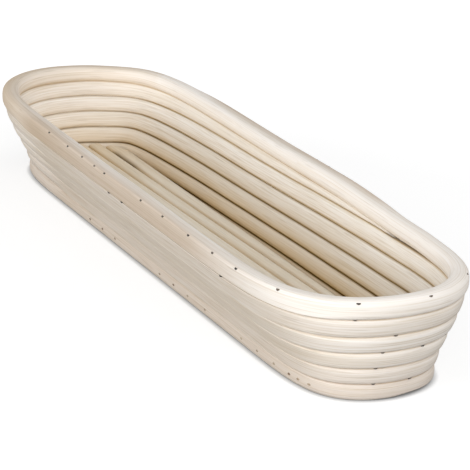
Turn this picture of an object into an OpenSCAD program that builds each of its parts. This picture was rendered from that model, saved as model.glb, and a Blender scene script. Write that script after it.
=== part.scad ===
// Long proofing basket wound from rattan cane.
// One wall cane climbs in turns from the table to the rim, a rim hoop closes the top,
// straight canes fill the floor, and steel brads hold everything together.
// +X runs along the basket, +Y across it, +Z up. The origin is on the table, under the middle.

/* [Rim] */
// Outer length at the rim
rim_length = 430; // [420:1:520]
// Outer width at the rim
rim_width = 118.5; // [105:0.5:160]
// How full the rim's oval is: 2 is an ellipse, and higher keeps the long sides straight for longer
rim_fullness = 8.5; // [6:0.5:20]
// Diameter of the rim cane
rim_cane_d = 10; // [8:0.5:13]
// Depth planed off the underside of the rim cane, where it sits on the wall
rim_planed = 0.3; // [0.1:0.1:1]
// Where the rim cane's ends meet along the far side, as a share of that side
rim_scarf_at = 0.57; // [0.2:0.01:0.8]
// Angle of that scarf cut to the cane
rim_scarf_angle = 14; // [8:1:30]
// Width of the glue line in that scarf
rim_scarf_gap = 0.45; // [0.45:0.05:0.8]

/* [Base] */
// Outer length at the table
base_length = 409; // [380:1:415]
// Outer width at the table
base_width = 76.6; // [70:0.2:95]
// How full the base's oval is
base_fullness = 14; // [8:0.5:20]

/* [Wall cane] */
// Thickness of the wall cane, through the wall
cane_d = 8.6; // [7:0.1:10]
// Height that each turn adds to the wall
turn_pitch = 9.2; // [8:0.1:12]
// Turns below the rim
wall_turns = 5; // [4:1:8]
// Gap between one turn and the next
turn_gap = 0.55; // [0.5:0.05:0.9]
// Depth cut flat under the lowest turn
flat_cut = 0.5; // [0.3:0.1:0.9]
// How late the wall flares out; 1 is an even S curve
flare_lag = 1.07; // [0.9:0.01:1.3]

// How square the outer face is where the long sides are sanded flat; 2 is round
side_square = 6; // [2.5:0.1:8]
// How square the outer face is round the ends
end_square = 3.2; // [2:0.1:6]
// How square the inner face is
inner_square = 2.8; // [2:0.1:4]
// Share of each long side over which the sanding runs out to the ends
sand_blend = 0.15; // [0.05:0.01:0.4]

/* [Tapers of the wall cane, as shares of the far side] */
// Where the lower taper begins, before the far side does
start_tip = -0.3; // [-0.4:0.01:-0.05]
// Where the steep part of the lower taper ends
start_shoulder = 0.29; // [0.1:0.01:0.4]
// Where the lower taper reaches full thickness
start_full = 0.61; // [0.45:0.01:0.8]
// Share of the thickness that the steep part of the lower taper makes
start_share = 0.39; // [0.2:0.01:0.8]
// Where the upper taper begins
end_first = 0; // [-0.05:0.01:0.1]
// Where the upper taper's first part ends
end_slow = 0.31; // [0.2:0.01:0.4]
// Where the upper taper's last, long part begins
end_long = 0.28; // [0.2:0.01:0.5]
// Where the upper taper runs out, past the cut tip
end_out = 1.16; // [1:0.01:1.3]
// Share of the thickness that the first part of the upper taper takes off
end_share = 0.22; // [0.05:0.01:0.4]
// Share of a turn's height at which the lower tip is cut off
start_cut = 0.2; // [0.16:0.01:0.3]
// Share of a turn's height at which the upper tip is cut off
end_cut = 0.29; // [0.2:0.01:0.4]

/* [Floor canes] */
// Height of the floor canes
floor_cane_h = 8.6; // [7:0.1:10]
// Diameter of the round cane that the floor canes are planed from
floor_cane_d = 10.2; // [9:0.1:12]
// Width of the two outermost floor canes
edge_cane_w = 6.6; // [4:0.1:9]
// Gap between floor canes, and between them and the wall cane
floor_gap = 0.3; // [0.2:0.05:0.6]

/* [Brads, cut from flat wire with a T-shaped head] */
// Length of a brad's head, along the cane
brad_head_l = 2.2; // [1.6:0.1:3]
// Thickness of the head
brad_head_h = 0.6; // [0.4:0.1:1]
// Width of the shank, along the cane
brad_shank_w = 1.2; // [0.8:0.1:1.4]
// Thickness of the flat wire
brad_wire = 1.1; // [0.8:0.1:1.4]
// Length of the point
brad_point = 2; // [1:0.5:3]
// Length of a rim brad
rim_brad_l = 12.5; // [11:0.5:13]
// Length of a wall brad
wall_brad_l = 7.5; // [6:0.5:8]
// Length of a base brad
base_brad_l = 13; // [11:0.5:14]
// How far the heads are punched below the surface
brad_sunk = 0.5; // [0.2:0.1:0.8]
// Slope of the rim brads below the level
rim_brad_slope = 65; // [60:1:70]
// Slope of the wall brads, square to the wall's lean
wall_brad_slope = 35; // [30:1:40]

/* [Hidden] */
FLOOR_NODES = [for (i = [1:7]) str("floor_cane_", i)];

cane_colour = "#E8DABD";
rim_colour = "#EFE4CC";
floor_colour = "#DFCDA8";
brad_colour = "#57524C";

// Rings along each part of a turn, and sides of a bent cane's section
far_rings = 18;
near_rings = 12;
end_rings = 14;
cane_sides = 12;
outline_points = 128;
round_fn = 32;

rim_level = wall_turns;
bed = turn_gap / 2 + flat_cut;
floor_canes = len(FLOOR_NODES);
full_canes = floor_canes - 2;
tiny = 0.01;

// Rounded part of a ramp at each of its ends, as a share of its run
ramp_round = 0.25;

function ease(x) = x * x * (3 - 2 * x);
function clamp(x) = min(1, max(0, x));
function bend(x) = x * x / (2 * ramp_round * (1 - ramp_round));
function ramp(x, from, to) =
    let (c = clamp((x - from) / (to - from)))
    c < ramp_round ? bend(c) : c > 1 - ramp_round ? 1 - bend(1 - c) : (c - ramp_round / 2) / (1 - ramp_round);

// Height and plan of the wall's middle line. Level 0 is the lowest turn and rim_level the rim.
// A plan is the oval |x / half_length| ^ fullness + |y / half_width| ^ 2 = 1.
function height_at(level) = turn_pitch * (level + 0.5) - bed;
function flare(level) = ease(pow(clamp(level / rim_level), flare_lag));
function between(low, high, level) = low + (high - low) * flare(level);
function half_length(level) = between((base_length - cane_d) / 2, (rim_length - rim_cane_d) / 2, level);
function half_width(level) = between((base_width - cane_d) / 2, (rim_width - rim_cane_d) / 2, level);
function fullness(level) = between(base_fullness, rim_fullness, level);

// How far the ends reach round the oval, as the angle whose cosine and sine give |x| and |y|
end_reach = 66;
function side_end(level) = half_length(level) * pow(cos(end_reach), 2 / fullness(level));

// Stations count the parts of a turn: 0 to 1 is the far side from its -X end to its +X end,
// 1 to 2 the +X end, 2 to 3 the near side and 3 to 4 the -X end.
// A place in plan is [x, y, direction of the outward normal].
function on_oval(level, x, y) =
    let (a = half_length(level), b = half_width(level), n = fullness(level))
    [x, y, atan2(2 * y / (b * b), sign(x) * n / a * pow(abs(x) / a, n - 1))];
function half_turn(place) = [-place.x, -place.y, place.z + 180];
function far_side(level, s) =
    let (x = side_end(level) * (2 * s - 1))
    on_oval(level, x, half_width(level) * sqrt(1 - pow(abs(x) / half_length(level), fullness(level))));
function right_end(level, s) =
    let (a = end_reach * (1 - 2 * s))
    on_oval(level, half_length(level) * pow(cos(a), 2 / fullness(level)), half_width(level) * sin(a));
function half_plan(level, s) = s < 1 ? far_side(level, s) : right_end(level, s - 1);
function plan(level, station) =
    let (s = (station + 4) % 4)
    s < 2 ? half_plan(level, s) : half_turn(half_plan(level, s - 2));
function wall_point(level, station) =
    let (p = plan(level, station))
    [p.x, p.y, height_at(level)];

// Shares of a full turn's height that the tapered start and end of the cane take up.
function start_height(f) =
    start_share * ramp(f, start_tip, start_shoulder) + (1 - start_share) * ramp(f, start_tip, start_full);
function end_height(f) = 1 - end_share * ramp(f, end_first, end_slow)
    - (1 - end_share) * ramp(f, end_long, end_out);

// Turn 0 is the tapered start, turns 1 to wall_turns - 1 are whole, and the last is the tapered end.
// Each turn stands on those below it, and together they fill the wall from the table to the rim.
function turn_of(t) = floor((t + 0.5) / 4);
function share_of(turn, f) = turn == 0 ? start_height(f) : turn == wall_turns ? end_height(f) : 1;
function below(turn, f) = turn == 0 ? 0 : start_height(f) + turn - 1;
function stack(f) = start_height(f) + wall_turns - 1 + end_height(f);
function low_level(turn, f) = wall_turns * below(turn, f) / stack(f) - 0.5;
function high_level(turn, f) = low_level(turn, f) + wall_turns * share_of(turn, f) / stack(f);

// Directions up along the wall and square out of it
function unit(v) = v / norm(v);
function up_wall(level, t) = unit(wall_point(level + tiny, t) - wall_point(level - tiny, t));
function out_wall(level, t) =
    let (a = plan(level, t).z, up = up_wall(level, t), level_out = [cos(a), sin(a), 0])
    unit(level_out - (level_out * up) * up);

// One ring of the wall cane. Its section is a rounded square, rounder or squarer inside and outside.
// Its outermost flats lie at the full thickness and height, and face those of the turns below and above.
function sanded(t) =
    let (s = (t + 4) % 2)
    s < 1 ? ramp(s, 0, sand_blend) * ramp(1 - s, 0, sand_blend) : 0;
function squared(c, square) =
    sign(c) * pow(abs(c) / cos(180 / cane_sides), 2 / square);
function ring(t) =
    let (turn = turn_of(t), f = t - 4 * turn,
        low = low_level(turn, f), high = high_level(turn, f),
        foot = wall_point(low, t) + up_wall(low, t) * turn_gap / 2,
        head = wall_point(high, t) - up_wall(high, t) * turn_gap / 2,
        foot_out = out_wall(low, t), head_out = out_wall(high, t),
        outer_square = end_square + (side_square - end_square) * sanded(t))
    [for (k = [0:cane_sides - 1])
        let (a = 360 * (k + 0.5) / cane_sides,
            square = cos(a) > 0 ? outer_square : inner_square,
            across = squared(cos(a), square) * cane_d / 2,
            rise = (1 + squared(sin(a), square)) / 2,
            p = (foot + foot_out * across) * (1 - rise) + (head + head_out * across) * rise)
        [p.x, p.y, max(0, p.z)]];

// Stations of the rings from tip to tip
function find_start(f) = start_height(f) < start_cut ? find_start(f + tiny) : f;
function find_end(f) = end_height(f) > end_cut ? find_end(f + tiny) : f;
first_t = find_start(start_tip);
last_t = 4 * wall_turns + find_end(end_long);
function arc_rings(arc) = arc == 0 ? far_rings : arc == 2 ? near_rings : end_rings;
function ring_stations(first, last) = concat([first],
    [for (turn = [-1:floor(last / 4)]) for (arc = [0:3]) for (k = [0:arc_rings(arc) - 1])
        let (t = 4 * turn + arc + k / arc_rings(arc))
        if (t > first + tiny && t < last - tiny) t],
    [last]);
cane_t = ring_stations(first_t, last_t);
cane_rings = [for (t = cane_t) ring(t)];

// Least gap of the wall cane to itself, from each ring's corners to the edges of the ring above.
function edge_gap(p, a, b) = norm(p - a - (b - a) * clamp((p - a) * (b - a) / ((b - a) * (b - a))));
function corner_gap(r1, r2) =
    min([for (p = r1) for (k = [0:cane_sides - 1]) edge_gap(p, r2[k], r2[(k + 1) % cane_sides])]);
function ring_gap(r1, r2) = min(corner_gap(r1, r2), corner_gap(r2, r1));
function least_gap() = min([for (t = cane_t) if (t + 4 <= last_t) ring_gap(ring(t), ring(t + 4))]);

// Inside of the lowest turn, which the floor canes fill
inside = cane_d / 2 + floor_gap;
floor_half_w = half_width(0) - inside;
full_pitch = 2 * (floor_half_w - edge_cane_w - floor_gap) / full_canes;
full_cane_w = full_pitch - floor_gap;
edge_cane_y = floor_half_w - edge_cane_w / 2;
function floor_y(i) = abs(i) > full_canes / 2 ? sign(i) * edge_cane_y : i * full_pitch;
function floor_w(i) = abs(i) > full_canes / 2 ? edge_cane_w : full_cane_w;

rim_z = height_at(rim_level - 0.5) + rim_cane_d / 2 - rim_planed;

// One ring of the rim hoop. Towards the scarf the rings slant, and its two end rings face each other.
scarf_run = 0.22;
scarf_cut = rim_scarf_gap / sin(rim_scarf_angle) / (4 * side_end(rim_level));
function slant(t) =
    clamp(1 - min(t - rim_scarf_at, 4 + rim_scarf_at - t) / scarf_run) / tan(rim_scarf_angle);
function rim_ring(t) =
    let (place = plan(rim_level, t), out = [cos(place.z), sin(place.z), 0], along = [out.y, -out.x, 0])
    [for (k = [0:cane_sides - 1])
        let (a = 360 * (k + 0.5) / cane_sides,
            across = squared(cos(a), 2) * rim_cane_d / 2,
            up = max(squared(sin(a), 2) * rim_cane_d / 2, rim_planed - rim_cane_d / 2))
        [place.x, place.y, rim_z + up] + across * (out + slant(t) * along)];
rim_rings = [for (t = ring_stations(rim_scarf_at + scarf_cut, rim_scarf_at + 4 - scarf_cut)) rim_ring(t)];

// Stations of the brads on the near side and the +X end. The far side repeats them, turned half round.
rim_brad_stations = [1.13, 1.41, 1.69, 1.96, 2.07, 2.14, 2.22, 2.31, 2.39, 2.53, 2.57, 2.62, 2.68, 2.76];
base_brad_stations = [1.97, 2.01, 2.03, 2.07, 2.12, 2.17, 2.29, 2.35, 2.4, 2.45, 2.62, 2.67, 2.72];
// Wall brads are [station, turn whose lower edge they enter]
wall_brad_places = [[2.52, 5], [2.47, 5], [2.12, 5], [1.7, 5], [1.54, 4], [1.38, 3], [1.59, 3], [1.19, 3],
    [1.62, 2], [1.4, 1], [1.63, 1]];
// Angle up the rim cane, and shares of the wall cane's thickness and pitch, where the heads lie
rim_brad_lift = 45;
wall_brad_out = 0.42;
wall_brad_up = 0.1;

module brad(length) {
    head = brad_head_l / 2;
    shank = brad_shank_w / 2;
    rotate([90, 0, 90])
        linear_extrude(brad_wire, center = true)
            polygon([[head, 0], [-head, 0], [-head, -brad_head_h], [-shank, -brad_head_h],
                [-shank, brad_point - length], [0, -length], [shank, brad_point - length],
                [shank, -brad_head_h], [head, -brad_head_h]]);
}

// A brad with its head at a seat. It points in and down, at a slope to the directions out and up.
module driven(seat, out, up, slope, length) {
    axis = out * cos(slope) + up * sin(slope);
    along = cross(up, out);
    side = cross(along, axis);
    translate(seat)
        multmatrix([for (i = [0:2]) [side[i], along[i], axis[i], 0]])
            translate([0, 0, -brad_sunk])
                brad(length);
}

// A brad in the wall's own directions, with its head out from the wall's middle line and up along it
module driven_in_wall(level, station, away, rise, slope, length) {
    out = out_wall(level, station);
    up = up_wall(level, station);
    driven(wall_point(level, station) + away * out + rise * up, out, up, slope, length);
}

module rim_brad_row() {
    for (half = [0, 2])
        for (s = rim_brad_stations) {
            place = plan(rim_level, s + half);
            out = [cos(place.z), sin(place.z), 0];
            up = [0, 0, 1];
            face = rim_cane_d / 2 * (cos(rim_brad_lift) * out + sin(rim_brad_lift) * up);
            driven([place.x, place.y, rim_z] + face, out, up, rim_brad_slope, rim_brad_l);
        }
}

// The level of the groove under a turn, at a station of the turn
function groove(turn, station) =
    let (t = 4 * turn + (station + 4) % 4)
    low_level(turn_of(t), t - 4 * turn_of(t));

module wall_brad_rows() {
    for (half = [0, 2])
        for (b = wall_brad_places)
            driven_in_wall(groove(b[1], b[0] + half), b[0] + half, wall_brad_out * cane_d,
                wall_brad_up * turn_pitch, wall_brad_slope, wall_brad_l);
}

module base_brad_row() {
    for (half = [0, 2])
        for (s = base_brad_stations)
            driven_in_wall(0, s + half, cane_d / 2, 0, 0, base_brad_l);
}

// A bent cane: a closed tube through rings of cane_sides points
module tube(rings) {
    n = cane_sides;
    last = len(rings) - 1;
    sides = [for (i = [0:last - 1]) for (k = [0:n - 1])
        let (a = i * n + k, b = i * n + (k + 1) % n)
        each [[a, a + n, b], [b, a + n, b + n]]];
    first_cap = [for (k = [1:n - 2]) [0, k, k + 1]];
    last_cap = [for (k = [1:n - 2]) [last * n, last * n + k + 1, last * n + k]];
    polyhedron([for (r = rings) each r], concat(first_cap, sides, last_cap));
}

module wall_cane() {
    color(cane_colour)
        tube(cane_rings);
}

module rim_hoop() {
    color(rim_colour)
        tube(rim_rings);
}

// Outline of the floor: the plan of the lowest turn, drawn in to its inner face
module floor_outline() {
    polygon([for (k = [0:outline_points - 1])
        let (p = plan(0, 4 * k / outline_points))
        [p.x - inside * cos(p.z), p.y - inside * sin(p.z)]]);
}

module floor_section(w) {
    intersection() {
        translate([0, floor_cane_h / 2])
            circle(floor_cane_d / 2, $fn = round_fn);
        translate([-w / 2, 0])
            square([w, floor_cane_h]);
    }
}

module floor_cane(i) {
    color(floor_colour)
        intersection() {
            translate([-base_length / 2, floor_y(i), 0])
                rotate([90, 0, 90])
                    linear_extrude(base_length)
                        floor_section(floor_w(i));
            linear_extrude(floor_cane_h)
                floor_outline();
        }
}

module rim_brads() {
    color(brad_colour)
        rim_brad_row();
}

module wall_brads() {
    color(brad_colour)
        wall_brad_rows();
}

module base_brads() {
    color(brad_colour)
        base_brad_row();
}

wall_cane();
rim_hoop();
for (i = [0:floor_canes - 1])
    floor_cane(i - (floor_canes - 1) / 2);
rim_brads();
wall_brads();
base_brads();
echo(least_gap_mm = least_gap(), rings = len(cane_rings), rim_rings = len(rim_rings));  // wall_cane
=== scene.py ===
import bpy
import bmesh
from math import sin, cos, pi, radians, atan2, sqrt, floor
from mathutils import Vector, Matrix, Quaternion, noise


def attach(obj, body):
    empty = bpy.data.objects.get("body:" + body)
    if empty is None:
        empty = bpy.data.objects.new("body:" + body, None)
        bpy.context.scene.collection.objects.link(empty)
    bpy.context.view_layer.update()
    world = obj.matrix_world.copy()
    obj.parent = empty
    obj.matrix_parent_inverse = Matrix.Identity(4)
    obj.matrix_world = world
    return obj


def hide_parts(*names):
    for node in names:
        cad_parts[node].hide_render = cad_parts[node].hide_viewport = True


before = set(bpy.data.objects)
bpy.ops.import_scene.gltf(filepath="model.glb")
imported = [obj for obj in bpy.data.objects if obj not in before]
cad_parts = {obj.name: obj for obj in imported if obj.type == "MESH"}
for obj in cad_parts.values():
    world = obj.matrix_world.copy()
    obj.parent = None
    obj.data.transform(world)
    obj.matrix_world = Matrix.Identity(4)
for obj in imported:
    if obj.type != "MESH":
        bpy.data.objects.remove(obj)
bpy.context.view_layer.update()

mm = 0.001
lap = 4  # stations once round the basket: 0-1 far side, 1-2 right end, 2-3 near side, 3-4 left end
print("frame loaded")


# the basket's own values, the same as in the part's source: lengths in mm, the two tips by station
basket = {
    "rimLength": 430, "rimWidth": 118.5, "rimFullness": 8.5, "rimCane": 10, "rimPlaned": 0.3,
    "baseLength": 409, "baseWidth": 76.6, "baseFullness": 14, "endReach": 66,  # reach in degrees
    "cane": 8.6, "pitch": 9.2, "turns": 5, "bed": 0.775, "flareLag": 1.07,
    "startTip": -0.3, "startShoulder": 0.29, "startFull": 0.61, "startShare": 0.39,
    "endFirst": 0, "endSlow": 0.31, "endLong": 0.28, "endOut": 1.16, "endShare": 0.22,
    "rampRound": 0.25,
}


def ease(x):
    return x * x * (3 - 2 * x)


def clamp(x):
    return min(1, max(0, x))


def mix(low, high, share):
    return low + (high - low) * share


def ramp(x, low, high):  # a straight rise from 0 to 1 with rounded ends
    c = clamp((x - low) / (high - low))
    k = basket["rampRound"]
    if c < k:
        return c * c / (2 * k * (1 - k))
    if c > 1 - k:
        return 1 - (1 - c) ** 2 / (2 * k * (1 - k))
    return (c - k / 2) / (1 - k)


def fromTable(table, station):
    s = station % lap
    low = max(k for k in table if k <= s)
    high = min(k for k in table if k > s)
    return mix(table[low], table[high], ease((s - low) / (high - low)))


def ovalAt(level):  # middle line of the wall: |x / halfL| ** full + |y / halfW| ** 2 = 1
    b = basket
    flare = ease(clamp(level / b["turns"]) ** b["flareLag"])
    halfL = mix((b["baseLength"] - b["cane"]) / 2, (b["rimLength"] - b["rimCane"]) / 2, flare)
    halfW = mix((b["baseWidth"] - b["cane"]) / 2, (b["rimWidth"] - b["rimCane"]) / 2, flare)
    return halfL, halfW, mix(b["baseFullness"], b["rimFullness"], flare)


def planAt(level, station):  # place on the middle line and the heading square out of it
    halfL, halfW, full = ovalAt(level)
    reach = radians(basket["endReach"])
    s = station % lap
    turned = s >= lap / 2  # the near side and the left end are the other two turned half round
    s -= lap / 2 if turned else 0
    if s < 1:
        x = halfL * cos(reach) ** (2 / full) * (2 * s - 1)
        y = halfW * sqrt(1 - abs(x / halfL) ** full)
    else:
        a = reach * (3 - 2 * s)
        x, y = halfL * cos(a) ** (2 / full), halfW * sin(a)
    slope = full / halfL * abs(x / halfL) ** (full - 1) * (1 if x > 0 else -1)
    heading = atan2(2 * y / halfW ** 2, slope)
    return (-x, -y, heading + pi) if turned else (x, y, heading)


def heightAt(level):  # whole levels are the middles of full turns
    return basket["pitch"] * (level + 0.5) - basket["bed"]


def startHeight(f):  # height of the wall cane's lower tip, as a share of a full turn
    b = basket
    return (b["startShare"] * ramp(f, b["startTip"], b["startShoulder"])
            + (1 - b["startShare"]) * ramp(f, b["startTip"], b["startFull"]))


def endHeight(f):  # the same for its upper tip
    b = basket
    return (1 - b["endShare"] * ramp(f, b["endFirst"], b["endSlow"])
            - (1 - b["endShare"]) * ramp(f, b["endLong"], b["endOut"]))


def turnLevels(t):  # lower and upper level of the wall cane at a station counted from its start
    turns = basket["turns"]
    turn = floor((t + 0.5) / lap)  # half a station early, so that the lower tip is part of turn 0
    f = t - lap * turn
    first, last = startHeight(f), endHeight(f)
    stack = first + turns - 1 + last
    below = 0 if turn == 0 else first + turn - 1
    share = first if turn == 0 else last if turn == turns else 1
    low = turns * below / stack - 0.5
    return low, low + turns * share / stack, share


# how many mm lower the hand-bent rim sits, by station; the wall below follows in proportion
sag = {0: 0.5, 0.32: 0.6, 0.5: 0.4, 0.62: 0, 0.75: 0.1, 0.87: 0.9, 0.95: 1.0, 1.05: 1.0, 1.25: 0.5,
       1.5: 0, 3.3: 0, 3.6: 0.5, 3.75: 0.9, 3.93: 0.5, 4: 0.5}

# the rim's dip at the wall cane's upper tip: stations, and shares of the tip's height
dip = {"reach": (0.6, 1.2), "first": (0.66, 0.82), "firstShare": 0.4, "last": (0.88, 0.96), "lastShare": 0.42}


def tipDip(station):  # how many mm the rim is pressed down at the thin upper tip and past it
    f = station % lap
    if not dip["reach"][0] < f < dip["reach"][1]:
        return 0
    turns, first, last = basket["turns"], startHeight(f), endHeight(f)
    height = basket["pitch"] * turns * last / (first + turns - 1 + last)
    return height * (dip["firstShare"] * ramp(f, *dip["first"]) + dip["lastShare"] * ramp(f, *dip["last"]))


def wallPoint(level, station):
    x, y, heading = planAt(level, station)
    z = heightAt(level)
    return Vector((x, y, z - fromTable(sag, station) * max(0, z) / heightAt(basket["turns"])))


def wallWays(level, station):  # directions up along the wall and square out of it
    heading, step = planAt(level, station)[2], 0.01
    levelOut = Vector((cos(heading), sin(heading), 0))
    up = (wallPoint(level + step, station) - wallPoint(level - step, station)).normalized()
    return up, (levelOut - levelOut.dot(up) * up).normalized()


# how square the canes are in section, 2 being round, and by station where the outside is sanded flat
sanding = {
    "sideSquare": 30.0, "rightSquare": 3.4, "leftSquare": 2.4, "innerSquare": 3.2,
    "blend": 0.13, "leftEdge": 0.08, "farEdge": 0.17, "cornerReach": 0.35,
    "rightFrom": (0.9, 1.15), "rightTo": 2.5,
}


def sanded(station):  # 1 where the outer face is flat
    s, blend, edge = station % lap, sanding["blend"], sanding["leftEdge"]
    if s < 1:
        return ramp(s, edge, edge + blend) * ramp(1 - s - sanding["farEdge"], 0, blend)
    corner = 2 - sanding["cornerReach"]  # the near side's flat runs on round the right corner
    return ramp(3 - s, edge, edge + blend) * ramp(s, corner, 2 + blend) if corner < s < 3 else 0


def rightEnd(station):  # 1 from the right end to the middle of the near side
    s = station % lap
    return ramp(s, *sanding["rightFrom"]) if s < sanding["rightTo"] else 0


def outerSquare(station):
    end = mix(sanding["leftSquare"], sanding["rightSquare"], rightEnd(station))
    return 1 / mix(1 / end, 1 / sanding["sideSquare"], sanded(station))


# the left end, painted darker and more golden as shade, by station
shadedEnd = {"middle": 3.4, "reach": 0.84, "fade": 0.6}


def leftEnd(station):  # 1 at the end painted darker as shade
    away = abs(station % lap - shadedEnd["middle"])
    return ease(clamp((shadedEnd["reach"] - away) / shadedEnd["fade"]))


def sectionPoint(a, inner, outer):  # a point of a unit section, x outwards and y up
    c, s = cos(a), sin(a)
    p = 2 / (outer if c > 0 else inner)
    return abs(c) ** p * (1 if c > 0 else -1), abs(s) ** p * (1 if s > 0 else -1)


def meshObject(name, bm):
    mesh = bpy.data.meshes.new(name)
    bm.to_mesh(mesh)
    bm.free()
    obj = bpy.data.objects.new(name, mesh)
    bpy.context.collection.objects.link(obj)
    return obj


def sweep(name, rings):  # rolls a sheet into a tube through the rings and closes its ends
    bm = bmesh.new()
    # the place in the cane as if it lay straight, in metres
    space = bm.verts.layers.float_vector.new("caneSpace")
    # how golden, partly as painted shade, how dulled by dust and painted shade, and how dark with painted
    # shade in the creases, at the upper tip and in the floor's split
    toning = bm.verts.layers.float_vector.new("toning")
    sides = len(rings[0])
    bmesh.ops.create_grid(bm, x_segments=sides, y_segments=len(rings) - 1, size=1)
    points = (p for ring in rings for p in ring + ring[:1])
    for v, (co, inCane, tones) in zip(bm.verts, points):
        v.co, v[space], v[toning] = co, inCane, tones
    bmesh.ops.remove_doubles(bm, verts=bm.verts, dist=1e-7)  # joins the sheet's two edges
    ends = [e for e in bm.edges if e.is_boundary]
    for f in bm.faces:
        f.smooth = True
    for e in ends:
        e.smooth = False
    bmesh.ops.holes_fill(bm, edges=ends, sides=sides)
    bmesh.ops.recalc_face_normals(bm, faces=bm.faces)
    return meshObject(name, bm)


def sweepAlong(name, stations, middleAt, ringAt):  # counts the length run along the middle line
    rings, run, before = [], 0, None
    for t in stations:
        here = middleAt(t)
        run += (here - before).length if rings else 0
        before = here
        rings.append(ringAt(t, run))
    return sweep(name, rings)


def wobble(place, size, span, seed):  # slow hand-made unevenness in mm
    return size * noise.noise(Vector((place / span, seed, 0.5)))


# wall cane: lengths in mm, cutMargin, openTop and where the upper tip's painted shade begins by station,
# tones from 0 to 1
wall = {
    "gap": 0.04, "sides": 36, "farRings": 60, "nearRings": 44, "endRings": 36, "cutMargin": 0.003,
    "startCut": 0.17, "endCut": 0.27, "tipThick": 0.55, "tipGrow": 1.6,
    "uneven": 0.2, "unevenSpan": 38, "unevenSeed": 3.1, "sandedEven": 0.7,
    "fill": 0.8, "fillLess": 0.25, "fillOut": 0.65, "footSquare": 2.6, "openTop": (-3.2, -3.04),
    "shadeInside": 0.7, "shadeDeep": 0.7, "honeySide": 0.15, "honeyLeft": 0.15, "honeyFoot": 0.04,
    "grooveShade": 0.3, "seamGlueAndShade": 0.68, "seamLessLeft": 0.6,
    "creaseShade": 0.93, "creaseLessEnd": 0.6, "tipShade": 0.5, "tipShadeFrom": (0.795, 0.82),
    "dustAndShade": 0.3, "dustAndShadeLower": 0.7, "dustAndShadeUpper": 0.35, "shadeLeft": 0.5,
}

# how many mm of the foot's lower outer edge are worn off, by station
footWorn = {0: 0, 1.0: 0, 1.2: 1.6, 1.4: 1.8, 1.55: 0.7, 1.7: 0, 4: 0}


def wallMiddle(t):
    low, high, share = turnLevels(t)
    return wallPoint((low + high) / 2, t)


def deepAt(level):  # 1 at the foot, 0 at the rim
    return 1 - clamp(level / basket["turns"])


def wallTones(t, level):  # gives the function for the tones of one ring: golden and dulled, partly as painted shade, and dark with painted shade in the creases
    w, deep, flat, left = wall, deepAt(level), sanded(t), leftEnd(t)
    fromMiddle = abs(2 * level / basket["turns"] - 1)  # 0 half way up the wall, 1 at the foot and the rim
    nearEnd = abs((t + 0.5) % 2 - 1)  # 0 in the middle of a long side, 1 in the middle of an end
    # painted shade: inside, the turns' undersides and the lower turns are more golden, less so in the middle
    # of the ends
    inside = w["shadeInside"] * (0.45 + 0.55 * ramp(nearEnd, 0.7, 0.3))
    under = 0.1 + 0.9 * deep ** 1.2  # painted shade: the undersides are more golden lower down
    # the outside is more golden on the sanded face and at the foot, and at the left end as painted shade
    outside = (w["honeySide"] * flat * (1.3 - 0.5 * fromMiddle) + w["honeyLeft"] * left
               + w["honeyFoot"] * clamp(1 - level))
    # painted shade: the creases between turns inside are painted dark brown, more lower down and less at the
    # ends
    dark = clamp(1.25 * deep - 0.05) ** 1.5 * (1 - w["creaseLessEnd"] * ramp(nearEnd, 0.4, 0.7))
    tipShadeHere = w["tipShade"] * ramp(t - lap * basket["turns"], *w["tipShadeFrom"])  # painted shade: the upper tip in the gap under the rim is darker
    # the outer faces are darkened partly by sanding dust and partly as painted shade, most at the foot and
    # the rim
    dustAndShadeHere = w["dustAndShade"] + (w["dustAndShadeLower"] if deep > 0.5 else w["dustAndShadeUpper"]) * fromMiddle

    def tonesAt(u, v):
        within = clamp(0.4 - 1.5 * u)  # 1 on the inner face
        lower = clamp((0.5 - v) / 1.5) ** 1.5  # 1 at the turn's underside
        # the seams between turns inside are golden, partly from glue and partly as painted shade; the outer
        # grooves at the ends are golden as painted shade
        seam = clamp((abs(v) - 0.85) / 0.1) * within
        groove = clamp((abs(v) - 0.9) / 0.1) * clamp(2 * u) * (1 - flat)
        goldenAndShade = (inside * (under * lower + w["shadeDeep"] * deep ** 2) * within + outside * clamp(u)
                  + w["grooveShade"] * groove + w["seamGlueAndShade"] * seam * (1 - w["seamLessLeft"] * left))
        # painted shade: the left end's inner faces are darker higher up
        dustedAndShaded = clamp(0.5 + 2 * u) * dustAndShadeHere + w["shadeLeft"] * left * clamp(-2 * u) * (1 - deep)
        return clamp(goldenAndShade), dustedAndShaded, max(w["creaseShade"] * seam * dark, tipShadeHere)

    return tonesAt


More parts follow.
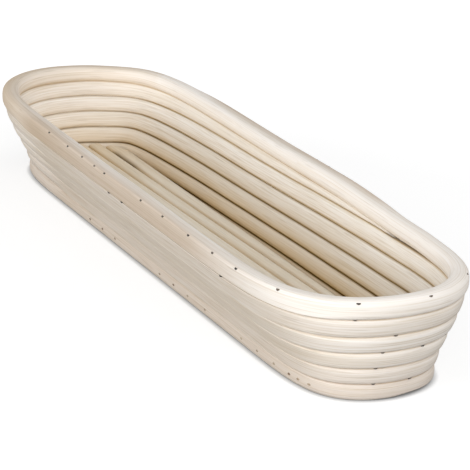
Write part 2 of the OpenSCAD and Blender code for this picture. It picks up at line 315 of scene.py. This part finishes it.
def wallRing(t, run):
    w = wall
    low, high, share = turnLevels(t)
    (footUp, footOut), (headUp, headOut) = wallWays(low, t), wallWays(high, t)
    foot = wallPoint(low, t) + footUp * w["gap"] / 2
    head = wallPoint(high, t) - headUp * w["gap"] / 2
    tip = t - lap * basket["turns"]
    head.z -= tipDip(tip) if tip > 0 else 0
    thick = basket["cane"] / 2 * mix(w["tipThick"], 1, clamp(share * w["tipGrow"]))
    shift = wobble(run, w["uneven"] * (1 - w["sandedEven"] * sanded(t)), w["unevenSpan"], w["unevenSeed"])
    level, outer = (low + high) / 2, outerSquare(t)
    filled, filledOut = w["fill"] - w["fillLess"] * deepAt(level), w["fillOut"] * rightEnd(t)
    openTop = w["openTop"][0] < tip < w["openTop"][1]  # the groove stays open below the upper tip
    tonesAt, ring = wallTones(t, level), []
    for k in range(w["sides"]):
        a = 2 * pi * (k + 0.5) / w["sides"]
        u, v = sectionPoint(a, sanding["innerSquare"], outer if a < pi or low > 0 else w["footSquare"])
        if -filled < u < filledOut and not (v > 0 and openTop):  # glue and fibres fill the grooves' bottom
            v = 1 if v > 0 else -1
        rise = (1 + v) / 2
        across = u * thick + shift
        co = (foot + footOut * across) * (1 - rise) + (head + headOut * across) * rise
        if low <= 0:
            co.z = max(fromTable(footWorn, t) * clamp(u), co.z)
        inCane = Vector((u * thick, v * basket["pitch"] / 2, run))
        ring.append((co * mm, inCane * mm, tonesAt(u, v)))
    return ring


def wallStations():
    w, fine = wall, 200  # the cuts of the tips are searched in steps of 1 / fine
    counts = (w["farRings"], w["endRings"], w["nearRings"], w["endRings"])
    first = next(k / fine for k in range(-60, 60) if startHeight(k / fine) > w["startCut"])
    last = next(k / fine for k in range(100, 220) if endHeight(k / fine) < w["endCut"])
    last += lap * basket["turns"]
    inner = [lap * turn + arc + k / counts[arc] for turn in range(-1, basket["turns"] + 1)
             for arc in range(lap) for k in range(counts[arc])]
    return [first] + [t for t in inner if first + w["cutMargin"] < t < last - w["cutMargin"]] + [last]


wallCane = sweepAlong("wallCane", wallStations(), wallMiddle, wallRing)
print("wall cane wound,", len(wallCane.data.vertices), "vertices")


# rim hoop: lengths in mm, cutMargin, scarfAt, scarfRun and paleCorner by station, tones from 0 to 1,
# unevenness as size, span and seed
rim = {
    "sides": 32, "sideRings": 56, "endRings": 40, "sideLength": 338, "cutMargin": 0.004,
    "scarfAt": 0.57, "scarfSlope": 4.0, "scarfRun": 0.22, "scarfGap": 0.12,
    "innerSquare": 2.6, "endSquare": 2.9, "sideSquare": 8, "lowerSquare": 14, "flushAt": 0.99, "flush": 0.2,
    "unevenOut": (0.25, 70, 5.7), "unevenUp": (0.125, 60, 8.3),
    "edgeShade": 0.9, "honeyLeft": 0.42, "paleCorner": (1.95, 2.3),
    "dustAndShade": 0.05, "shadeSide": 0.35, "shadeOut": 0.75, "shadeLeft": 0.7,
}
rimZ = heightAt(basket["turns"] - 0.5) + basket["rimCane"] / 2 - basket["rimPlaned"]

# how many mm thinner the rim's top is, by station
worn = {0: 0.5, 0.2: 0.6, 0.42: 0.6, 0.52: 0.1, 0.6: 0.1, 0.7: 0.5, 0.88: 0.3, 1.0: 0.1, 1.2: 0, 3.4: 0,
        3.7: 0.7, 4: 0.5}


def rimMiddle(t):
    x, y, heading = planAt(basket["turns"], t)
    return Vector((x, y, rimZ - fromTable(sag, t) - tipDip(t)))


def rimSquare(t):
    return mix(rim["endSquare"], rim["sideSquare"], sanded(t))


def rimRing(t, run):
    r, heading = basket["rimCane"] / 2, planAt(basket["turns"], t)[2]
    out, up = Vector((cos(heading), sin(heading), 0)), Vector((0, 0, 1))
    along = Vector((out.y, -out.x, 0))
    outer, flat, left, thin = rimSquare(t), sanded(t), leftEnd(t), fromTable(worn, t) / r
    lower = mix(rim["endSquare"], rim["lowerSquare"], flat)
    toned = flat * (1 if t % lap < 1 else ramp(t % lap, *rim["paleCorner"]))  # the right corner is pale: the near side's painted shade and golden tone fade out there
    fromScarf = t - rim["scarfAt"]
    slant = rim["scarfSlope"] * (1 - clamp(min(fromScarf, lap - fromScarf) / rim["scarfRun"]))
    middle = rimMiddle(t) + up * wobble(run, *rim["unevenUp"]) + out * wobble(run, *rim["unevenOut"])
    ring = []
    for k in range(rim["sides"]):
        a = 2 * pi * (k + 0.5) / rim["sides"]
        u, v = [r * w for w in sectionPoint(a, rim["innerSquare"], outer if a < pi else lower)]
        v = max(v, basket["rimPlaned"] - r) * (1 if v < 0 else 1 - thin)
        u = min(u, r * (rim["flushAt"] + rim["flush"] * v / r * flat)) if v < 0 else u
        co = middle + out * u + up * v + along * u * slant
        outward, upward = u / r, v / r
        # painted shade: the inner lower edge on the top turn and the left end are more golden; the outer side
        # has the wall's sanded tone
        goldenAndShade = (rim["edgeShade"] * clamp(-upward) ** 3 * clamp(-outward)
                  + wall["honeySide"] * toned * clamp(outward - upward)
                  + rim["honeyLeft"] * left * clamp(0.6 + 0.4 * outward))
        # painted shade: the near side's outer face and the left end are darker, above a light even dust
        dustedAndShaded = (rim["dustAndShade"] + (rim["shadeSide"] + rim["shadeOut"] * outward) * toned
                  + rim["shadeLeft"] * left * clamp(0.75 + 0.4 * outward))
        ring.append((co * mm, Vector((u, v, run)) * mm, (clamp(goldenAndShade), clamp(dustedAndShaded), 0)))
    return ring


def rimRounds():  # the rim's stations, from one face of the scarf once round to the other
    counts = (rim["sideRings"], rim["endRings"], rim["sideRings"], rim["endRings"], rim["sideRings"])
    first = rim["scarfAt"] + rim["scarfGap"] / 2 / rim["sideLength"]
    last = rim["scarfAt"] + lap - rim["scarfGap"] / 2 / rim["sideLength"]
    inner = [arc + k / counts[arc] for arc in range(lap + 1) for k in range(counts[arc])]
    return [first] + [t for t in inner if first + rim["cutMargin"] < t < last - rim["cutMargin"]] + [last]


def rimLine(t):  # the level line along which the rim's length is counted
    x, y, heading = planAt(basket["turns"], t)
    return Vector((x, y, 0))


rimHoop = sweepAlong("rimHoop", rimRounds(), rimLine, rimRing)
print("rim hoop bent,", len(rimHoop.data.vertices), "vertices")


# floor canes: lengths in mm, slant as a slope, splitFrom and splitTo as shares of half the length
floorCanes = {
    "count": 7, "height": 8.6, "edgeWidth": 6.6, "gap": 0.22, "wallGap": 0.3, "rings": 48, "sides": 28,
    "topSquare": 2.6, "planed": 0.6, "slant": 0.0183, "slantReach": 190, "shift": -0.8,
    "uneven": 0.18, "sideSpan": 55, "sideSeed": 11.3, "upSpan": 70, "upSeed": 23.9, "wobbleFrom": 300,
    "honey": 0.1, "honeyLeft": 0.2, "edgeShade": 0.7, "grainStep": 400,
    "split": 0.8, "splitShade": 0.9, "splitFrom": (0.6, 0.8), "splitTo": (0.98, 0.92),
}


def floorEnd(y):  # how far the floor reaches along X at a given Y, to the inside of the lowest turn
    inside = basket["cane"] / 2 + floorCanes["wallGap"]
    low, high = 0.5, 1.5
    for i in range(30):
        mid = (low + high) / 2
        x, yWall, heading = planAt(0, mid)
        if yWall - inside * sin(heading) > abs(y):
            low = mid
        else:
            high = mid
    return x - inside * cos(heading)


def makeFloorCane(number):
    f = floorCanes
    i = number - (f["count"] + 1) // 2  # 0 for the middle cane, above 0 towards the far side
    half = ovalAt(0)[1] - basket["cane"] / 2 - f["wallGap"]
    full = f["count"] - 2
    pitch = 2 * (half - f["edgeWidth"] - f["wallGap"]) / full
    edge, side = abs(i) > full / 2, 1 if i > 0 else -1
    yMid = (half - f["edgeWidth"] / 2) * side if edge else i * pitch
    width = f["edgeWidth"] if edge else pitch - f["gap"]
    rings = []
    for k in range(f["rings"] + 1):
        s = 2 * k / f["rings"] - 1  # from -1 at the left end to 1 at the right one
        splitHere = ramp(-s, *f["splitFrom"]) * ramp(-s, *f["splitTo"])
        ring = []
        for n in range(f["sides"]):
            a = 2 * pi * (n + 0.5) / f["sides"]
            u, v = sectionPoint(a, f["topSquare"], f["topSquare"])
            # golden: the cane's own tone, more at the left end, with painted shade on the sides between canes
            goldenAndShade = f["honey"] + f["honeyLeft"] * ramp(-s, 0.5, 1) + f["edgeShade"] * abs(u) ** 6
            facing = clamp({2: u, 3: -u}.get(i, 0)) * splitHere  # the two sides of the split, painted dark as shade in the gap
            askew = f["shift"] + f["slant"] * s * f["slantReach"]
            askew *= 0.5 - u / 2 * side if edge else 1  # edge canes keep to the wall
            u *= width / 2
            v *= f["height"] / 2 + f["planed"]
            y = yMid + u + askew + (f["split"] * facing if i == 3 else 0)  # the far cane springs away
            x = s * floorEnd(y)
            along = x + f["wobbleFrom"]
            y += wobble(along, f["uneven"], f["sideSpan"], i + f["sideSeed"]) * (1 - abs(s) ** 6)
            z = f["height"] / 2 + v - f["planed"] + wobble(along, f["uneven"], f["upSpan"], i + f["upSeed"])
            co, inCane = Vector((x, y, max(0, z))), Vector((u, v, x + f["grainStep"] * number))
            ring.append((co * mm, inCane * mm, (goldenAndShade, 0, f["splitShade"] * facing ** 7)))
        rings.append(ring)
    return sweep("floorCane" + str(number), rings)


floorPieces = [makeFloorCane(k + 1) for k in range(floorCanes["count"])]
print("floor canes laid")


# brads: pins of flat wire with T-shaped heads, lengths in mm, lifts and slopes in degrees
brads = {
    "headLong": 2.1, "headWide": 0.7, "headThick": 0.6, "shank": 1.1, "pointShare": 0.3, "proud": 0.1,
    "bevel": 0.16, "rimLength": 12.5, "wallLength": 7.5, "baseLength": 13,
    "rimLift": 45, "farLift": 28, "rimSlope": 20, "wallSlope": 35, "wallUp": 0.7,
    "rimStations": (1.13, 1.41, 1.69, 1.96, 2.07, 2.14, 2.22, 2.31, 2.39, 2.53, 2.57, 2.62, 2.68, 2.76),
    "baseStations": (1.97, 2.01, 2.03, 2.07, 2.12, 2.17, 2.29, 2.35, 2.4, 2.45, 2.62, 2.67, 2.72),
    # station and turn
    "wallPlaces": ((2.52, 5), (2.47, 5), (2.12, 5), (1.7, 5), (1.54, 4), (1.38, 3), (1.59, 3), (1.19, 3),
                   (1.62, 2), (1.4, 1), (1.63, 1)),
}
halves = (0, lap / 2)  # the stations above, and the same turned half round


def turnTo(place, along, out):  # matrix that lays X along the cane and Z out of it
    matrix = Matrix((along, out.cross(along), out)).transposed().to_4x4()
    matrix.translation = place
    return Matrix.Scale(mm, 4) @ matrix


def addBrad(bm, place, out, up, slope, length):  # place is on the cane's face, out points away from it
    b = brads
    along = up.cross(out).normalized()
    head = bmesh.ops.create_cube(bm, size=1)["verts"]
    bmesh.ops.scale(bm, verts=head, vec=(b["headLong"], b["headWide"], b["headThick"]))
    bmesh.ops.translate(bm, verts=head, vec=(0, 0, b["proud"] - b["headThick"] / 2))
    edges = list({e for v in head for e in v.link_edges})
    head = bmesh.ops.bevel(bm, geom=edges, offset=b["bevel"], offset_type="OFFSET", affect="EDGES",
                           segments=2, profile=0.5, material=-1)["verts"]
    bmesh.ops.transform(bm, matrix=turnTo(place, along, out), verts=head)
    shank = bmesh.ops.create_cube(bm, size=1)["verts"]
    bmesh.ops.scale(bm, verts=shank, vec=(b["shank"], b["shank"], length))
    bmesh.ops.translate(bm, verts=shank, vec=(0, 0, -length / 2))
    tip = [v for v in shank if v.co.z < -length / 2]
    bmesh.ops.scale(bm, verts=tip, vec=(b["pointShare"], 1, 1))
    axis = out * cos(radians(slope)) + up * sin(radians(slope))
    bmesh.ops.transform(bm, matrix=turnTo(place, along, axis), verts=shank)


def bradGroup(name, seats):
    bm = bmesh.new()
    for seat in seats:
        addBrad(bm, *seat)
    bmesh.ops.recalc_face_normals(bm, faces=bm.faces)
    return meshObject(name, bm)


def rimSeats():
    for half, lift in zip(halves, (radians(brads["rimLift"]), radians(brads["farLift"]))):
        for s in brads["rimStations"]:
            station = s + half
            heading = planAt(basket["turns"], station)[2]
            levelOut, top = Vector((cos(heading), sin(heading), 0)), Vector((0, 0, 1))
            out = levelOut * cos(lift) + top * sin(lift)
            up = top * cos(lift) - levelOut * sin(lift)
            u, v = sectionPoint(lift, rim["innerSquare"], rimSquare(station))
            face = (levelOut * u + top * v) * basket["rimCane"] / 2 - top * v * fromTable(worn, station)
            yield rimMiddle(station) + face, out, up, brads["rimSlope"], brads["rimLength"]


def wallSeats():
    for half in halves:
        for s, turn in brads["wallPlaces"]:
            station = (s + half) % lap
            level = turnLevels(lap * turn + station)[0]
            up, out = wallWays(level, station)
            square, v = outerSquare(station), 1 - 2 * brads["wallUp"] / basket["pitch"]
            face = basket["cane"] / 2 * (1 - v ** square) ** (1 / square)
            place = wallPoint(level, station) + out * face + up * brads["wallUp"]
            yield place, out, up, brads["wallSlope"], brads["wallLength"]


def baseSeats():
    for half in halves:
        for s in brads["baseStations"]:
            up, out = wallWays(0, s + half)
            middle = (wallPoint(-0.5, s + half) + wallPoint(0.5, s + half)) / 2
            yield middle + out * basket["cane"] / 2, out, up, 0, brads["baseLength"]


rimBrads = bradGroup("rimBrads", rimSeats())
wallBrads = bradGroup("wallBrads", wallSeats())
baseBrads = bradGroup("baseBrads", baseSeats())
print("brads driven")


# materials
def linear(code):
    parts = [int(code[i:i + 2], 16) / 255 for i in (1, 3, 5)]
    return [c / 12.92 if c <= 0.04045 else ((c + 0.055) / 1.055) ** 2.4 for c in parts] + [1]


def addNode(tree, kind, inputs=None, **settings):
    node = tree.nodes.new(kind)
    for key, value in settings.items():
        setattr(node, key, value)
    for key, value in (inputs or {}).items():
        if isinstance(value, bpy.types.NodeSocket):
            tree.links.new(value, node.inputs[key])
        else:
            node.inputs[key].default_value = value
    return node


def rampColours(node, places, codes):
    bands = node.color_ramp.elements
    while len(bands) < len(places):
        bands.new(0.5)
    for band, place, code in zip(bands, places, codes):
        band.position = place
        band.color = linear(code)


def newMaterial(name):
    mat = bpy.data.materials.new(name)
    mat.use_nodes = True
    return mat, mat.node_tree


# rattan core: the peeled, sanded heart of the vine, a matt pale cream with long fine fibres
def rattan(name, look):
    mat, tree = newMaterial(name)
    shader = tree.nodes["Principled BSDF"]
    inCane = addNode(tree, "ShaderNodeAttribute", attribute_name="caneSpace").outputs["Vector"]
    toning = addNode(tree, "ShaderNodeAttribute", attribute_name="toning").outputs["Vector"]
    goldenAndShade, dustedAndShaded, paintedShade = addNode(tree, "ShaderNodeSeparateXYZ", {0: toning}).outputs
    patterns = []
    for size, detail, rough in (("fibreSize", 3, 0.6), ("driftSize", 2, 0.5), ("threadSize", 1, 0.5)):
        wide, long = [1 / (length * mm) for length in look[size]]
        placed = addNode(tree, "ShaderNodeMapping", {"Vector": inCane, "Scale": (wide, wide, long)})
        spread = {"Vector": placed.outputs[0], "Scale": 1, "Detail": detail, "Roughness": rough}
        patterns.append(addNode(tree, "ShaderNodeTexNoise", spread).outputs[0])
    fibre, drift, streak = patterns
    tones = addNode(tree, "ShaderNodeValToRGB", {"Fac": fibre})
    rampColours(tones, look["stops"], (look["dark"], look["mid"], look["pale"]))
    shares = []
    for pattern, (low, high, most) in ((drift, look["driftMix"]), (streak, look["threadMix"])):
        limits = {"Value": pattern, "From Min": low, "From Max": high, "To Min": 0, "To Max": most}
        shares.append(addNode(tree, "ShaderNodeMapRange", limits).outputs[0])
    # outer faces, darkened by dust and painted shade, are sanded more even
    inner = addNode(tree, "ShaderNodeMath", {0: dustedAndShaded, 1: -look["evenOut"], 2: 1}, operation="MULTIPLY_ADD")
    warmth = addNode(tree, "ShaderNodeMath", {0: shares[0], 1: inner.outputs[0]}, operation="MULTIPLY")
    colour = tones.outputs[0]
    # the golden and grey layers are partly painted shade, the dark brown layer wholly
    for share, key, blend in ((warmth.outputs[0], "warm", "MIX"), (shares[1], "thread", "MIX"),
                              (goldenAndShade, "honey", "MIX"), (paintedShade, "creaseShade", "MIX"),
                              (dustedAndShaded, "dustAndShade", "MULTIPLY")):
        layers = {0: share, 6: colour, 7: linear(look[key])}
        colour = addNode(tree, "ShaderNodeMix", layers, data_type="RGBA", blend_type=blend).outputs[2]
    tree.links.new(colour, shader.inputs["Base Color"])
    smooth, coarse = look["rough"]
    rough = addNode(tree, "ShaderNodeMapRange", {"Value": fibre, "To Min": smooth, "To Max": coarse})
    tree.links.new(rough.outputs[0], shader.inputs["Roughness"])
    height = {"Height": fibre, "Strength": look["bump"], "Distance": look["bumpDepth"] * mm}
    tree.links.new(addNode(tree, "ShaderNodeBump", height).outputs[0], shader.inputs["Normal"])
    shader.inputs["IOR"].default_value = look["ior"]
    shader.inputs["Specular IOR Level"].default_value = look["specular"]
    return mat


# pattern sizes are width and length in mm; fibres of rattan are about 0.4 mm wide and are drawn at 0.7 mm
# so that they show at this size; driftMix and threadMix are the range of the noise and the most it mixes in
wallLook = {
    "fibreSize": (0.7, 45), "driftSize": (8.3333, 110), "threadSize": (0.90909, 22.2222),
    "dark": "#E3D8C7", "mid": "#F8F2EA", "pale": "#FDFAF5", "stops": (0.3, 0.52, 0.72),
    "warm": "#E8DCC8", "driftMix": (0.35, 0.7, 0.35), "evenOut": 0.7,
    "thread": "#A08C72", "threadMix": (0.62, 0.74, 0.2),
    # the golden colour serves the cane's own tone and painted shade, the dark brown serves painted shade in
    # the creases, and the grey serves sanding dust and painted shade
    "honey": "#C6A35C", "creaseShade": "#402200", "dustAndShade": "#E7E2DF",
    "rough": (0.67, 0.85), "bump": 0.25, "bumpDepth": 0.4, "ior": 1.5, "specular": 0.15,
}
rimLook = dict(wallLook, dark="#E9DFD2", mid="#F9F3EC", pale="#FCF8F4", dustAndShade="#DCD2C7", fibreSize=(0.7, 80),
               driftMix=(0.35, 0.7, 0.2))
floorLook = dict(wallLook, dark="#EFE5D2", mid="#F7F0E3", pale="#FBF7EF", driftMix=(0.35, 0.7, 0.4))
wallRattan = rattan("sandedRattanWall", wallLook)
rimRattan = rattan("sandedRattanRim", rimLook)
floorRattan = rattan("planedRattanFloor", floorLook)


# brad steel: drawn wire, dull and darkened, with a faint worn shine on the heads
def bradSteel(name, look):
    mat, tree = newMaterial(name)
    shader = tree.nodes["Principled BSDF"]
    place = addNode(tree, "ShaderNodeTexCoord").outputs["Object"]
    spread = {"Vector": place, "Scale": 1 / (look["stainSize"] * mm), "Detail": 2}
    stain = addNode(tree, "ShaderNodeTexNoise", spread)
    tones = addNode(tree, "ShaderNodeValToRGB", {"Fac": stain.outputs[0]})
    rampColours(tones, look["stops"], (look["rust"], look["steel"]))
    tree.links.new(tones.outputs[0], shader.inputs["Base Color"])
    shader.inputs["Metallic"].default_value = look["metallic"]
    shader.inputs["Roughness"].default_value = look["rough"]
    return mat


# stains are several mm across, so that whole heads differ from each other
bradLook = {"stainSize": 11, "rust": "#1E1814", "steel": "#6A5E52", "stops": (0.35, 0.65),
            "metallic": 0.4, "rough": 0.55}
dustyLook = dict(bradLook, stainSize=9, rust="#6A5038", steel="#B8A890")  # heads dulled by sanding
steel = bradSteel("darkBradSteel", bradLook)
dustySteel = bradSteel("dustyBradSteel", dustyLook)


def dress(obj, mat, slot, *nodes):
    obj.data.materials.append(mat)
    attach(obj, "root")
    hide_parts(*nodes)


dress(wallCane, wallRattan, "wall_rattan", "wall_cane")
dress(rimHoop, rimRattan, "rim_rattan", "rim_hoop")
for i, piece in enumerate(floorPieces):
    dress(piece, floorRattan, "floor_rattan", "floor_cane_" + str(i + 1))
dress(rimBrads, steel, "brad_steel", "rim_brads")
dress(wallBrads, steel, "brad_steel", "wall_brads")
dress(baseBrads, dustySteel, "brad_steel", "base_brads")
print("materials set")


# studio in metres: white floor, the strongest lamp to the right, camera as in the photograph
studio = {
    "floorSize": 8, "paper": "#A0A0A0", "floorGlow": (0.74, 0.95), "glowFrom": (0.2, 0.6),
    "glowColour": "#FFFFFF", "contact": 0.0032, "contactPower": 1.2, "sky": 0.33, "skyColour": "#FFFFFF",
    "lampColour": "#FFFFFF", "lampAim": (0, 0, 0.03),
}
lamps = {
    "keyLight": {"place": (2.1, -0.4, 0.95), "size": 1.6, "watts": 34},
    "fillLight": {"place": (0.1, -2.0, 1.0), "size": 1.6, "watts": 14},
    "lowLight": {"place": (0.3, -2.2, 0.3), "size": 0.8, "watts": 17},
    "backLight": {"place": (0.1, 1.4, 1.5), "size": 1.2, "watts": 7},
}
# place and aim in mm, roll in degrees, focus and frame in pixels
view = {"place": (1127.52, -548.99, 466.00), "aim": (154.75, -62.59, 74.95), "roll": 1.406,
        "focus": 2444.08, "frame": 470, "sensor": 36, "clipEnd": 50}


def turnedTo(place, aim):
    return (Vector(aim) - Vector(place)).to_track_quat("-Z", "Y")


def seen(tree):  # 1 for rays that show the background itself
    rays = addNode(tree, "ShaderNodeLightPath").outputs
    shown = rays["Is Camera Ray"]
    for kind in ("Is Glossy Ray", "Is Transmission Ray"):
        shown = addNode(tree, "ShaderNodeMath", {0: shown, 1: rays[kind]}, operation="MAXIMUM").outputs[0]
    return shown


# white paper sweep: matt and lit almost to plain white, with a thin shadow where the basket stands
def makeFloor():
    bm = bmesh.new()
    bmesh.ops.create_grid(bm, x_segments=1, y_segments=1, size=studio["floorSize"] / 2)
    obj = meshObject("studioFloor", bm)
    mat, tree = newMaterial("whitePaperSweep")
    tree.nodes.clear()
    paper = addNode(tree, "ShaderNodeBsdfDiffuse", {"Color": linear(studio["paper"])})
    place = addNode(tree, "ShaderNodeTexCoord").outputs["Object"]
    away = addNode(tree, "ShaderNodeVectorMath", {0: place}, operation="LENGTH").outputs["Value"]
    (near, far), (low, high) = studio["glowFrom"], studio["floorGlow"]
    limits = {"Value": away, "From Min": near, "From Max": far, "To Min": low, "To Max": high}
    glow = addNode(tree, "ShaderNodeMapRange", limits).outputs[0]
    # thin shadow along the foot
    shade = addNode(tree, "ShaderNodeAmbientOcclusion", {"Distance": studio["contact"]}).outputs["AO"]
    dim = addNode(tree, "ShaderNodeMath", {0: shade, 1: studio["contactPower"]}, operation="POWER")
    for share in (dim.outputs[0], seen(tree)):
        glow = addNode(tree, "ShaderNodeMath", {0: glow, 1: share}, operation="MULTIPLY").outputs[0]
    lit = addNode(tree, "ShaderNodeEmission", {"Color": linear(studio["glowColour"]), "Strength": glow})
    both = addNode(tree, "ShaderNodeAddShader", {0: paper.outputs[0], 1: lit.outputs[0]})
    addNode(tree, "ShaderNodeOutputMaterial", {"Surface": both.outputs[0]})
    obj.data.materials.append(mat)


def makeSky():
    world = bpy.data.worlds.new("studioSky")
    bpy.context.scene.world = world
    world.use_nodes = True
    tree = world.node_tree
    limits = {"Value": seen(tree), "To Min": studio["sky"], "To Max": 1}
    strength = addNode(tree, "ShaderNodeMapRange", limits)
    back = tree.nodes["Background"]
    back.inputs["Color"].default_value = linear(studio["skyColour"])
    tree.links.new(strength.outputs[0], back.inputs["Strength"])


def makeLamp(name, lamp):
    data = bpy.data.lights.new(name, "AREA")
    data.shape = "SQUARE"
    data.size = lamp["size"]
    data.energy = lamp["watts"]
    data.color = linear(studio["lampColour"])[:3]
    obj = bpy.data.objects.new(name, data)
    obj.location = lamp["place"]
    obj.rotation_euler = turnedTo(lamp["place"], studio["lampAim"]).to_euler()
    bpy.context.collection.objects.link(obj)


def makeCamera():
    data = bpy.data.cameras.new("photoCamera")
    data.sensor_width = view["sensor"]
    data.lens = view["focus"] / view["frame"] * view["sensor"]
    data.clip_end = view["clipEnd"]
    obj = bpy.data.objects.new("photoCamera", data)
    place, aim = Vector(view["place"]) * mm, Vector(view["aim"]) * mm
    roll = Quaternion((0, 0, 1), radians(view["roll"]))
    obj.location = place
    obj.rotation_euler = (turnedTo(place, aim) @ roll).to_euler()
    bpy.context.collection.objects.link(obj)
    bpy.context.scene.camera = obj


makeFloor()
makeSky()
for name, lamp in lamps.items():
    makeLamp(name, lamp)
makeCamera()
bpy.context.scene.view_settings.view_transform = "Standard"
print("studio ready")
